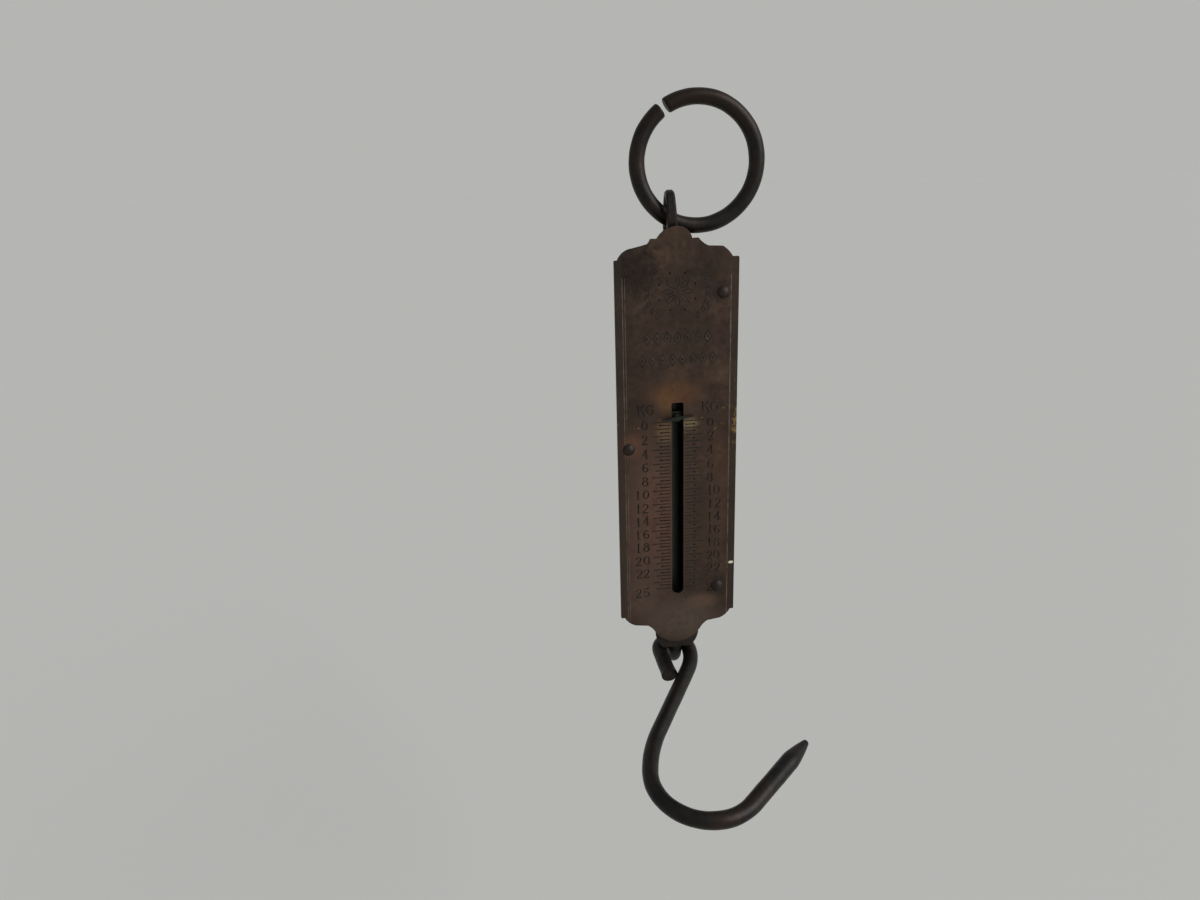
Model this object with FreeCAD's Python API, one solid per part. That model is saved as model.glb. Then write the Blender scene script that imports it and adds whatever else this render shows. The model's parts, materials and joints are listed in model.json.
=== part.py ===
import FreeCAD, Part
import math
import os

# Pocket spring balance: a brass face plate riveted to a steel back casing, a spring and
# pull rod inside it, a split ring to hang it by and a load hook under it.
# Millimetres. X is to the right, Y runs back through the case and Z is up. The pieces are
# drawn about the middle of the face plate's front, then moved so that the origin is where
# the ring bears on what holds it.

# Face plate
PLATE_WIDTH = 35.0
PLATE_THICKNESS = 1.0
SIDE_TOP = 52.9
SIDE_BOTTOM = -52.8
SLOT_WIDTH = 3.5
SLOT_TOP = 12.9
SLOT_BOTTOM = -46.7
SLOT_TOP_CORNER = 0.6

# Ornate ends of the plate. A point near the side is (in from the side, out past it) and a
# point near the middle is (from the middle, out past the side's end).
# The top is cut a little differently on its two sides.
TOP_CORNER = (0.3, 0.4)
TOP_RIGHT_LEDGE = 1.5
TOP_RIGHT_BROW = (4.6, 3.3)
TOP_RIGHT_FOOT = (8.9, 3.5)
TOP_RIGHT_NECK = (6.0, 5.7)
TOP_RIGHT_LOBE = (4.2, 5.7)
TOP_LEFT_LEDGE = 0.6
TOP_LEFT_BROW = (5.2, 3.5)
TOP_LEFT_FOOT = (8.3, 4.4)
TOP_LEFT_NECK = (7.4, 5.8)
TOP_LEFT_LOBE = (5.6, 5.8)
TOP_TIP = 9.0
BOTTOM_CORNER = (0.2, 0.6)
BOTTOM_LEDGE = 0.9
BOTTOM_BROW = (4.4, 3.4)
BOTTOM_FOOT = (9.3, 3.9)
BOTTOM_NECK = (7.1, 6.1)
BOTTOM_LOBE = (6.8, 6.5)
BOTTOM_TIP = 10.1
# How far each curve there stands out from its chord, as a share of the chord
CORNER_ROUND = 0.18
RIGHT_BROW_ROUND = 0.06
LEFT_BROW_ROUND = 0.14
BOTTOM_BROW_ROUND = 0.1
NECK_ROUND = 0.07

# Rivets that hold the plate to the casing's flange
FACE_RIVET_PLACES = ((13.1, 43.7), (-14.3, -0.1), (12.3, -45.1))
RIVET_HEAD_RADIUS = 1.75
RIVET_HEAD_HEIGHT = 1.1
RIVET_SHANK_RADIUS = 0.9
RIVET_TAIL_RADIUS = 1.5
RIVET_TAIL_HEIGHT = 0.6
RIVET_CLEARANCE = 0.05

# Back casing, a half-round steel trough with a flange
SHEET = 0.6
FLANGE_INSET = 0.3
TROUGH_RADIUS = 8.2
TROUGH_TOP = 56.5
TROUGH_BOTTOM = -57.0
TROUGH_EDGE = 1.2
LOWER_LOBE_RADIUS = 6.7
LOWER_LOBE_CENTRE = -60.0
LOWER_LOBE_END = -65.2

# End blocks inside the casing, each held by one rivet through the back
BLOCK_HEIGHT = 4.0
BLOCK_CLEARANCE = 0.1
BLOCK_RIVET_RADIUS = 1.2
BLOCK_RIVET_DEPTH = 3.6

# Hanging loop, a forged eye whose shank passes down through the top block
LOOP_SEAT_GAP = 0.5
LOOP_OUTER_RADIUS = 6.2
LOOP_HOLE_RADIUS = 3.8
LOOP_CROWN_RADIUS = 4.5
LOOP_CROWN_HOLE_RADIUS = 2.5
LOOP_CROWN_RISE = 3.5
LOOP_THICKNESS = 3.1
LOOP_CROWN_THICKNESS = 2.4
LOOP_CHAMFER = 0.5
LOOP_LEAN_ANGLE = 1.0
LOOP_TURN_ANGLE = 6.0
LOOP_FOOT_RADIUS = 3.8
LOOP_FOOT_HEIGHT = 1.4
LOOP_SHANK_RADIUS = 2.5
SHANK_CLEARANCE = 0.1

# Hanging ring
RING_CENTRE_X = 7.6
RING_MEAN_RADIUS = 16.9
RING_WIRE_RADIUS = 2.2
RING_GAP = 1.6
RING_GAP_ANGLE = 124.0
RING_END_ROUND = 0.6

# Spring and the two plugs that it is wound on to
SPRING_WIRE_RADIUS = 0.85
SPRING_MEAN_RADIUS = 5.5
SPRING_TURNS = 13
SPRING_BEND_RADIUS = 2.0
PLUG_CLEARANCE = 0.15
PLUG_COLLAR_RADIUS = 6.9
COLLAR_FRONT_GAP = 0.6
UPPER_COLLAR_HEIGHT = 3.0
LOWER_COLLAR_TOP = 10.0
LOWER_COLLAR_HEIGHT = 3.0
PLUG_SPIGOT_HEIGHT = 6.0
PLUG_BORE_DEPTH = 5.0
PIN_RADIUS = 0.9
PIN_CLEARANCE = 0.05

# Pull rod and its eye
ROD_RADIUS = 2.25
ROD_RUNNING_CLEARANCE = 0.1
EYE_MEAN_RADIUS = 4.7
EYE_SECTION_RADIUS = 2.0
EYE_HEIGHT = -66.8

# Pointer
POINTER_HEIGHT = 8.6
POINTER_LEFT = 4.9
POINTER_RIGHT = 4.6
POINTER_BLADE = 1.0
POINTER_FRONT_GAP = 0.3
POINTER_PROUD = 1.1
POINTER_STEM_RADIUS = 1.0
POINTER_TILT_ANGLE = 5.0
POINTER_SOCKET = 2.4

# Load hook, lying in the plane that swings about the rod's eye
HOOK_WIRE_RADIUS = 2.4
HOOK_SWING_ANGLE = 78.0
HOOK_OFFSET = 0.3
CURL_RADIUS = 4.7
CURL_TAIL = 11.0
CURL_TAIL_ANGLE = 4.0
CURL_EXIT_RADIUS = 18.7
CURL_EXIT_ANGLE = 30.8
SHANK_LENGTH = 27.9
SHOULDER_RADIUS = 39.2
SHOULDER_ANGLE = 21.4
BOWL_RADIUS = 14.8
BOWL_ANGLE = 140.4
ARM_LENGTH = 19.1
TIP_LENGTH = 8.6
TIP_RADIUS = 0.9

vec = FreeCAD.Vector
X_AXIS = vec(1, 0, 0)
Y_AXIS = vec(0, 1, 0)
Z_AXIS = vec(0, 0, 1)

# Sizes that follow from the ones above. The load line is the depth behind the plate's
# front where ring, spring, rod and hook all hang.
HALF_WIDTH = PLATE_WIDTH / 2
LOAD_DEPTH = PLATE_THICKNESS + COLLAR_FRONT_GAP + PLUG_COLLAR_RADIUS
FLANGE_BACK = PLATE_THICKNESS + SHEET
TROUGH_INSIDE = TROUGH_RADIUS - SHEET
CASING_BACK = LOAD_DEPTH + TROUGH_RADIUS
TOP_BLOCK_TOP = TROUGH_TOP - SHEET
TOP_BLOCK_BOTTOM = TOP_BLOCK_TOP - BLOCK_HEIGHT
BOTTOM_BLOCK_BOTTOM = TROUGH_BOTTOM + SHEET
UPPER_COLLAR_BOTTOM = TOP_BLOCK_BOTTOM - UPPER_COLLAR_HEIGHT
LOWER_COLLAR_BOTTOM = LOWER_COLLAR_TOP - LOWER_COLLAR_HEIGHT
SPIGOT_RADIUS = SPRING_MEAN_RADIUS - SPRING_WIRE_RADIUS - PLUG_CLEARANCE
SHANK_BOTTOM = UPPER_COLLAR_BOTTOM - PLUG_BORE_DEPTH
ROD_TOP = LOWER_COLLAR_TOP + PLUG_BORE_DEPTH
UPPER_PIN_HEIGHT = UPPER_COLLAR_BOTTOM - PLUG_BORE_DEPTH / 2
LOWER_PIN_HEIGHT = LOWER_COLLAR_TOP + PLUG_BORE_DEPTH / 2
RING_HINGE_HEIGHT = TROUGH_TOP + LOOP_SEAT_GAP + LOOP_OUTER_RADIUS
LOOP_CROWN_HEIGHT = RING_HINGE_HEIGHT + LOOP_CROWN_RISE
LOOP_TOP = LOOP_CROWN_HEIGHT + LOOP_CROWN_RADIUS
RING_DROP = math.sqrt(RING_MEAN_RADIUS ** 2 - RING_CENTRE_X ** 2)
RING_CENTRE_HEIGHT = RING_HINGE_HEIGHT + RING_DROP
RING_BEARING_HEIGHT = RING_CENTRE_HEIGHT + RING_MEAN_RADIUS - RING_WIRE_RADIUS
ORIGIN = vec(RING_CENTRE_X, LOAD_DEPTH, RING_BEARING_HEIGHT)


def cylinder(radius, start, end):
    """Round bar between two points."""
    along = end - start
    return Part.makeCylinder(radius, along.Length, start, along)


def on_load_line(height):
    """Point on the line that the load hangs on."""
    return vec(0, LOAD_DEPTH, height)


def domed_head(radius, height, seat, outwards):
    """Rivet head: the cap of a sphere, standing on its seat."""
    sphere_radius = (radius ** 2 + height ** 2) / (2 * height)
    centre = seat - outwards * (sphere_radius - height)
    sphere = Part.makeSphere(sphere_radius, centre)
    return sphere.common(cylinder(radius, seat, seat + outwards * 2 * height))


def curve(start, end, roundness):
    """Arc in the plate's plane that stands out from its chord, to the right of travel."""
    chord = end - start
    middle = (start + end) * 0.5 - chord.cross(Y_AXIS) * roundness
    return Part.Arc(start, middle, end).toShape()


def half_end(side_end, toward, corner, ledge, brow, brow_round, neck_foot, neck, lobe, tip):
    """Edges of half an ornate end, drawn on the right, from the side to the lobe's tip."""
    def near_side(inwards, outwards):
        return vec(HALF_WIDTH - inwards, 0, side_end + toward * outwards)

    def near_middle(sideways, outwards):
        return vec(sideways, 0, side_end + toward * outwards)

    side = near_side(0, 0)
    ledge_start = near_side(*corner)
    ledge_end = near_side(corner[0] + ledge, corner[1])
    brow_end = near_side(*brow)
    foot = near_middle(*neck_foot)
    neck_end = near_middle(*neck)
    root = near_middle(*lobe)
    top = near_middle(0, tip)
    lobe_rise = tip - lobe[1]
    lobe_chord = math.hypot(lobe[0], lobe_rise)
    lobe_radius = lobe_chord ** 2 / (2 * lobe_rise)
    lobe_bulge = lobe_radius - math.sqrt(lobe_radius ** 2 - lobe_chord ** 2 / 4)
    return [
        curve(side, ledge_start, toward * CORNER_ROUND),
        Part.makeLine(ledge_start, ledge_end),
        curve(ledge_end, brow_end, toward * brow_round),
        Part.makeLine(brow_end, foot),
        curve(foot, neck_end, -toward * NECK_ROUND),
        Part.makeLine(neck_end, root),
        curve(root, top, toward * lobe_bulge / lobe_chord),
    ]


def plate_outline():
    """Closed outline of the face plate."""
    right = half_end(SIDE_TOP, 1, TOP_CORNER, TOP_RIGHT_LEDGE, TOP_RIGHT_BROW,
                     RIGHT_BROW_ROUND, TOP_RIGHT_FOOT, TOP_RIGHT_NECK, TOP_RIGHT_LOBE, TOP_TIP)
    left = half_end(SIDE_TOP, 1, TOP_CORNER, TOP_LEFT_LEDGE, TOP_LEFT_BROW,
                    LEFT_BROW_ROUND, TOP_LEFT_FOOT, TOP_LEFT_NECK, TOP_LEFT_LOBE, TOP_TIP)
    both = half_end(SIDE_BOTTOM, -1, BOTTOM_CORNER, BOTTOM_LEDGE, BOTTOM_BROW,
                    BOTTOM_BROW_ROUND, BOTTOM_FOOT, BOTTOM_NECK, BOTTOM_LOBE, BOTTOM_TIP)
    both.append(Part.makeLine(vec(HALF_WIDTH, 0, SIDE_BOTTOM), vec(HALF_WIDTH, 0, SIDE_TOP)))
    mirrored = [edge.mirror(vec(0, 0, 0), X_AXIS) for edge in left + both]
    return Part.Wire(Part.__sortEdges__(right + both + mirrored))


def rivet_holes(radius, depth):
    """Round holes for the face rivets, from the plate's front to a depth."""
    holes = []
    for x, z in FACE_RIVET_PLACES:
        holes.append(cylinder(radius, vec(x, 0, z), vec(x, depth, z)))
    return holes


def face_plate():
    """Brass sheet with the pointer's slot and three rivet holes."""
    sheet = Part.Face(plate_outline()).extrude(Y_AXIS * PLATE_THICKNESS)
    half_slot = SLOT_WIDTH / 2
    slot = Part.makeBox(SLOT_WIDTH, PLATE_THICKNESS, SLOT_TOP - SLOT_BOTTOM - half_slot,
                        vec(-half_slot, 0, SLOT_BOTTOM + half_slot))
    top_corners = [edge for edge in slot.Edges
                   if abs(edge.BoundBox.ZMin - SLOT_TOP) < 0.01 and edge.BoundBox.YLength > 0.5]
    slot = slot.makeFillet(SLOT_TOP_CORNER, top_corners)
    foot = vec(0, 0, SLOT_BOTTOM + half_slot)
    slot_foot = cylinder(half_slot, foot, foot + Y_AXIS * PLATE_THICKNESS)
    holes = rivet_holes(RIVET_SHANK_RADIUS + RIVET_CLEARANCE, PLATE_THICKNESS)
    return sheet.cut([slot, slot_foot] + holes)


def face_rivets():
    """Three domed rivets through the plate and the flange."""
    rivets = []
    for x, z in FACE_RIVET_PLACES:
        front = vec(x, 0, z)
        back = vec(x, FLANGE_BACK, z)
        head = domed_head(RIVET_HEAD_RADIUS, RIVET_HEAD_HEIGHT, front, -Y_AXIS)
        tail = domed_head(RIVET_TAIL_RADIUS, RIVET_TAIL_HEIGHT, back, Y_AXIS)
        rivets.append(cylinder(RIVET_SHANK_RADIUS, front, back).fuse([head, tail]))
    return Part.makeCompound(rivets)


def half_round(radius, front, bottom, top):
    """Bar with a flat front and a half-round back, standing on the load line."""
    height = top - bottom
    block = Part.makeBox(2 * radius, LOAD_DEPTH - front, height, vec(-radius, front, bottom))
    back = cylinder(radius, on_load_line(bottom), on_load_line(top))
    back = back.common(Part.makeBox(2 * radius, radius, height, vec(-radius, LOAD_DEPTH, bottom)))
    return block.fuse(back).removeSplitter()


def back_casing():
    """Steel trough with closed ends, a flange of the plate's shape and a blunt lower lobe."""
    outline = plate_outline().makeOffset2D(-FLANGE_INSET)
    flange = Part.Face(outline).extrude(Y_AXIS * SHEET)
    flange.translate(Y_AXIS * PLATE_THICKNESS)
    lobe_front = vec(0, PLATE_THICKNESS, LOWER_LOBE_CENTRE)
    lobe = cylinder(LOWER_LOBE_RADIUS, lobe_front, lobe_front + Y_AXIS * SHEET)
    below = Part.makeBox(2 * LOWER_LOBE_RADIUS, SHEET, LOWER_LOBE_RADIUS)
    below.translate(vec(-LOWER_LOBE_RADIUS, PLATE_THICKNESS, LOWER_LOBE_END - LOWER_LOBE_RADIUS))
    lobe = lobe.cut(below)
    trough = half_round(TROUGH_RADIUS, PLATE_THICKNESS, TROUGH_BOTTOM, TROUGH_TOP)
    end_edges = [edge for edge in trough.Edges
                 if edge.BoundBox.ZLength < 0.01 and edge.BoundBox.YMax > FLANGE_BACK]
    trough = trough.makeFillet(TROUGH_EDGE, end_edges)
    hollow = half_round(TROUGH_INSIDE, PLATE_THICKNESS,
                        TROUGH_BOTTOM + SHEET, TROUGH_TOP - SHEET)
    casing = trough.fuse([flange, lobe]).cut(hollow)
    holes = rivet_holes(RIVET_SHANK_RADIUS + RIVET_CLEARANCE, FLANGE_BACK)
    holes.append(cylinder(LOOP_SHANK_RADIUS + SHANK_CLEARANCE,
                          on_load_line(TOP_BLOCK_TOP), on_load_line(TROUGH_TOP)))
    holes.append(cylinder(ROD_RADIUS + 2 * ROD_RUNNING_CLEARANCE,
                          on_load_line(TROUGH_BOTTOM), on_load_line(BOTTOM_BLOCK_BOTTOM)))
    holes += block_rivet_holes()
    return casing.cut(holes).removeSplitter()


def block_rivet_heights():
    """Heights of the rivets through the casing's back into the two blocks."""
    middle = BLOCK_HEIGHT / 2
    return (TOP_BLOCK_BOTTOM + middle, BOTTOM_BLOCK_BOTTOM + middle)


def block_rivet_holes():
    """Holes for the block rivets, in the casing and the blocks alike."""
    holes = []
    for z in block_rivet_heights():
        holes.append(cylinder(BLOCK_RIVET_RADIUS + RIVET_CLEARANCE,
                              vec(0, CASING_BACK, z), vec(0, CASING_BACK - BLOCK_RIVET_DEPTH, z)))
    return holes


def block_rivets():
    """Two rivets that hold the end blocks to the casing's back."""
    rivets = []
    for z in block_rivet_heights():
        back = vec(0, CASING_BACK, z)
        shank = cylinder(BLOCK_RIVET_RADIUS, back - Y_AXIS * BLOCK_RIVET_DEPTH, back)
        head = domed_head(RIVET_HEAD_RADIUS, RIVET_HEAD_HEIGHT, back, Y_AXIS)
        rivets.append(shank.fuse(head))
    return Part.makeCompound(rivets)


def end_block(bottom, bore_radius):
    """Steel block that fills the trough's end and guides what passes through it."""
    front = PLATE_THICKNESS + BLOCK_CLEARANCE
    block = half_round(TROUGH_INSIDE - BLOCK_CLEARANCE, front, bottom, bottom + BLOCK_HEIGHT)
    bore = cylinder(bore_radius, on_load_line(bottom), on_load_line(bottom + BLOCK_HEIGHT))
    return block.cut([bore] + block_rivet_holes())


def top_block():
    """Block that carries the hanging loop's shank."""
    return end_block(TOP_BLOCK_BOTTOM, LOOP_SHANK_RADIUS + SHANK_CLEARANCE)


def bottom_block():
    """Block that guides the pull rod."""
    return end_block(BOTTOM_BLOCK_BOTTOM, ROD_RADIUS + ROD_RUNNING_CLEARANCE)


def pear_bar(low_radius, crown_radius):
    """Bar along X with a pear's outline: a round foot and a narrower round crown."""
    half = LOOP_THICKNESS / 2
    slope = math.asin((low_radius - crown_radius) / LOOP_CROWN_RISE)
    shapes = []
    corners = []
    for radius, z in ((low_radius, RING_HINGE_HEIGHT), (crown_radius, LOOP_CROWN_HEIGHT)):
        shapes.append(cylinder(radius, vec(-half, LOAD_DEPTH, z), vec(half, LOAD_DEPTH, z)))
        corners.append((radius * math.cos(slope), z + radius * math.sin(slope)))
    (low_reach, low_z), (crown_reach, crown_z) = corners
    flanks = Part.makePolygon([
        vec(-half, LOAD_DEPTH - low_reach, low_z), vec(-half, LOAD_DEPTH + low_reach, low_z),
        vec(-half, LOAD_DEPTH + crown_reach, crown_z),
        vec(-half, LOAD_DEPTH - crown_reach, crown_z), vec(-half, LOAD_DEPTH - low_reach, low_z)])
    return Part.Face(flanks).extrude(X_AXIS * LOOP_THICKNESS).fuse(shapes).removeSplitter()


def hanging_loop():
    """Pear-shaped eye for the ring, thinner at its crown, with a foot and a shank below it."""
    loop = pear_bar(LOOP_OUTER_RADIUS, LOOP_CROWN_RADIUS)
    loop = loop.cut(pear_bar(LOOP_HOLE_RADIUS, LOOP_CROWN_HOLE_RADIUS))
    half = LOOP_THICKNESS / 2
    half_crown = LOOP_CROWN_THICKNESS / 2
    bottom = RING_HINGE_HEIGHT - LOOP_OUTER_RADIUS
    taper = Part.makePolygon([vec(-half, 0, bottom), vec(half, 0, bottom),
                              vec(half_crown, 0, LOOP_TOP), vec(-half_crown, 0, LOOP_TOP),
                              vec(-half, 0, bottom)])
    loop = loop.common(Part.Face(taper).extrude(Y_AXIS * CASING_BACK))
    rims = [edge for edge in loop.Edges if edge.BoundBox.YLength > 0.5 or
            edge.BoundBox.ZLength > 0.5]
    loop = loop.makeChamfer(LOOP_CHAMFER, rims)
    loop.rotate(on_load_line(TROUGH_TOP), Y_AXIS, -LOOP_LEAN_ANGLE)
    loop.rotate(on_load_line(TROUGH_TOP), Z_AXIS, -LOOP_TURN_ANGLE)
    foot = cylinder(LOOP_FOOT_RADIUS, on_load_line(TROUGH_TOP),
                    on_load_line(TROUGH_TOP + LOOP_FOOT_HEIGHT))
    shank = cylinder(LOOP_SHANK_RADIUS, on_load_line(SHANK_BOTTOM), on_load_line(TROUGH_TOP))
    return loop.fuse([foot, shank]).cut(plug_pin_hole(UPPER_PIN_HEIGHT)).removeSplitter()


def hanging_ring():
    """Split ring of round wire with softened ends."""
    centre = vec(RING_CENTRE_X, LOAD_DEPTH, RING_CENTRE_HEIGHT)
    half_gap = math.degrees(math.asin(RING_GAP / 2 / RING_MEAN_RADIUS))
    start = math.radians(RING_GAP_ANGLE + half_gap)
    outwards = vec(math.cos(start), 0, math.sin(start))
    tangent = vec(-math.sin(start), 0, math.cos(start))
    section = Part.Circle(centre + outwards * RING_MEAN_RADIUS, tangent, RING_WIRE_RADIUS)
    face = Part.Face(Part.Wire(section.toShape()))
    ring = face.revolve(centre, -Y_AXIS, 360 - 2 * half_gap)
    rims = [face.OuterWire.Edges[0] for face in ring.Faces
            if isinstance(face.Surface, Part.Plane)]
    return ring.makeFillet(RING_END_ROUND, rims)


def spring_plug(collar_bottom, collar_height, spigot_bottom, bore_radius, bore_end, pin_height):
    """Plug with a collar on the spring's end and a spigot inside its first turns."""
    collar = cylinder(PLUG_COLLAR_RADIUS, on_load_line(collar_bottom),
                      on_load_line(collar_bottom + collar_height))
    spigot = cylinder(SPIGOT_RADIUS, on_load_line(spigot_bottom),
                      on_load_line(spigot_bottom + PLUG_SPIGOT_HEIGHT))
    bore = cylinder(bore_radius, on_load_line(bore_end[0]), on_load_line(bore_end[1]))
    return collar.fuse(spigot).removeSplitter().cut([bore, plug_pin_hole(pin_height)])


def upper_plug():
    """Plug that hangs from the loop's shank."""
    return spring_plug(UPPER_COLLAR_BOTTOM, UPPER_COLLAR_HEIGHT,
                       UPPER_COLLAR_BOTTOM - PLUG_SPIGOT_HEIGHT,
                       LOOP_SHANK_RADIUS, (SHANK_BOTTOM, TOP_BLOCK_BOTTOM), UPPER_PIN_HEIGHT)


def lower_plug():
    """Plug that the spring pulls up, with a socket for the pointer's stem in its front."""
    plug = spring_plug(LOWER_COLLAR_BOTTOM, LOWER_COLLAR_HEIGHT, LOWER_COLLAR_TOP,
                       ROD_RADIUS, (LOWER_COLLAR_BOTTOM, ROD_TOP), LOWER_PIN_HEIGHT)
    return plug.cut(pointer_stem())


def plug_pin_hole(height):
    """Cross hole through a plug's spigot and what is inside it."""
    return cross_pin(height, PIN_RADIUS + PIN_CLEARANCE)


def cross_pin(height, radius):
    """Round bar across a spigot, a little short of its surface."""
    half = SPIGOT_RADIUS - PIN_CLEARANCE
    return cylinder(radius, vec(-half, LOAD_DEPTH, height), vec(half, LOAD_DEPTH, height))


def biarc(start, start_way, end, end_way):
    """Two arcs that join two points and run along the given way at each of them."""
    chord = end - start
    ways = start_way + end_way
    spread = 2 * (1 - start_way.dot(end_way))
    reach = chord.dot(ways)
    length = (-reach + math.sqrt(reach ** 2 + spread * chord.dot(chord))) / spread
    joint = (start + end + (start_way - end_way) * length) * 0.5
    first = tangent_arc(start, start_way, joint)
    second = tangent_arc(end, -end_way, joint)
    return [first, Part.Arc(joint, second.value(second.LastParameter / 2), end)]


def tangent_arc(start, way, end):
    """Arc that leaves its start along a given way."""
    chord = end - start
    half = chord.Length / 2
    ahead = vec(chord).normalize()
    side = (way - ahead * way.dot(ahead)).normalize()
    rise = half * math.tan(math.acos(min(1.0, way.dot(ahead))) / 2)
    return Part.Arc(start, start + ahead * half + side * rise, end)


def spring_point(turn, bottom, pitch):
    """Point on the spring's centre line and the way that it runs there."""
    angle = 2 * math.pi * turn
    point = vec(SPRING_MEAN_RADIUS * math.cos(angle),
                LOAD_DEPTH + SPRING_MEAN_RADIUS * math.sin(angle), bottom + pitch * turn)
    way = vec(-2 * math.pi * SPRING_MEAN_RADIUS * math.sin(angle),
              2 * math.pi * SPRING_MEAN_RADIUS * math.cos(angle), pitch).normalize()
    return point, way


def spring_end(point, way, upwards, collar):
    """Bend and short straight that turn the wire's end square to a collar's face."""
    flat = vec(way.x, way.y, 0).normalize()
    climb = math.asin(way.dot(upwards))
    turn = math.pi / 2 - climb
    centre = point + (upwards * math.cos(climb) - flat * math.sin(climb)) * SPRING_BEND_RADIUS
    middle_angle = climb + turn / 2
    middle = centre + (flat * math.sin(middle_angle)
                       - upwards * math.cos(middle_angle)) * SPRING_BEND_RADIUS
    bend_end = centre + flat * SPRING_BEND_RADIUS
    tip = vec(bend_end.x, bend_end.y, collar)
    return Part.Arc(point, middle, bend_end), Part.LineSegment(bend_end, tip)


def main_spring():
    """Tension spring between the plugs' collars, one unbroken wire."""
    end_rise = 2 * SPRING_WIRE_RADIUS + SPRING_BEND_RADIUS
    bottom = LOWER_COLLAR_TOP + end_rise
    pitch = (UPPER_COLLAR_BOTTOM - end_rise - bottom) / SPRING_TURNS
    quarters = [spring_point(step / 4, bottom, pitch) for step in range(4 * SPRING_TURNS + 1)]
    curves = []
    for (start, start_way), (end, end_way) in zip(quarters, quarters[1:]):
        curves += biarc(start, start_way, end, end_way)
    first, first_way = quarters[0]
    last, last_way = quarters[-1]
    lower_bend, lower_tip = spring_end(first, -first_way, -Z_AXIS, LOWER_COLLAR_TOP)
    upper_bend, upper_tip = spring_end(last, last_way, Z_AXIS, UPPER_COLLAR_BOTTOM)
    curves = [lower_tip, lower_bend] + curves + [upper_bend, upper_tip]
    path = Part.Wire(Part.__sortEdges__([item.toShape() for item in curves]))
    foot = lower_tip.EndPoint
    section = Part.Wire(Part.Circle(foot, Z_AXIS, SPRING_WIRE_RADIUS).toShape())
    spring = path.makePipeShell([section], True, False)
    expected = math.pi * SPRING_WIRE_RADIUS ** 2 * path.Length
    print("spring volume over section times length:", round(spring.Volume / expected, 4))
    print("spring least gap between turns, mm:", round(least_gap(path), 3))
    return spring


def least_gap(path):
    """Least distance between the wire's own turns, measured on points of its centre line."""
    points = path.discretize(Number=900)
    skip = int(900 * math.pi * SPRING_MEAN_RADIUS / path.Length)
    nearest = min((a - b).Length for i, a in enumerate(points) for b in points[i + skip:])
    return nearest - 2 * SPRING_WIRE_RADIUS


def pull_rod():
    """Round rod with an eye at its foot, whose hole lies across the case."""
    rod = cylinder(ROD_RADIUS, on_load_line(EYE_HEIGHT + EYE_MEAN_RADIUS), on_load_line(ROD_TOP))
    eye = Part.makeTorus(EYE_MEAN_RADIUS, EYE_SECTION_RADIUS, on_load_line(EYE_HEIGHT), X_AXIS)
    return rod.fuse(eye).cut(plug_pin_hole(LOWER_PIN_HEIGHT))


def pointer_stem():
    """Round stem from the blade, through the slot and into the lower plug."""
    socket = LOAD_DEPTH - PLUG_COLLAR_RADIUS + POINTER_SOCKET
    return cylinder(POINTER_STEM_RADIUS, vec(0, -POINTER_FRONT_GAP, POINTER_HEIGHT),
                    vec(0, socket, POINTER_HEIGHT))


def pointer():
    """Thin blade across the slot, pointed at both ends, on its stem."""
    half = POINTER_BLADE / 2
    blade = Part.makePolygon([vec(-POINTER_LEFT, 0, 0), vec(-half, 0, -half), vec(half, 0, -half),
                              vec(POINTER_RIGHT, 0, 0), vec(half, 0, half), vec(-half, 0, half),
                              vec(-POINTER_LEFT, 0, 0)])
    blade = Part.Face(blade).extrude(-Y_AXIS * (POINTER_PROUD - POINTER_FRONT_GAP))
    blade.rotate(vec(0, 0, 0), Y_AXIS, -POINTER_TILT_ANGLE)
    blade.translate(vec(0, -POINTER_FRONT_GAP, POINTER_HEIGHT))
    return blade.fuse(pointer_stem())


class HookLine:
    """Centre line of the hook, drawn in its own plane by running and turning."""

    def __init__(self, point, heading):
        self.point = point
        self.heading = heading
        self.edges = []

    def ahead(self):
        return vec(math.cos(self.heading), math.sin(self.heading), 0)

    def run(self, length):
        end = self.point + self.ahead() * length
        self.edges.append(Part.makeLine(self.point, end))
        self.point = end

    def turn(self, radius, degrees):
        side = math.copysign(1, degrees)
        centre = self.point + vec(-self.ahead().y, self.ahead().x, 0) * radius * side
        spoke = self.point - centre
        middle = centre + FreeCAD.Rotation(Z_AXIS, degrees / 2).multVec(spoke)
        end = centre + FreeCAD.Rotation(Z_AXIS, degrees).multVec(spoke)
        self.edges.append(Part.Arc(self.point, middle, end).toShape())
        self.point = end
        self.heading += math.radians(degrees)


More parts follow.
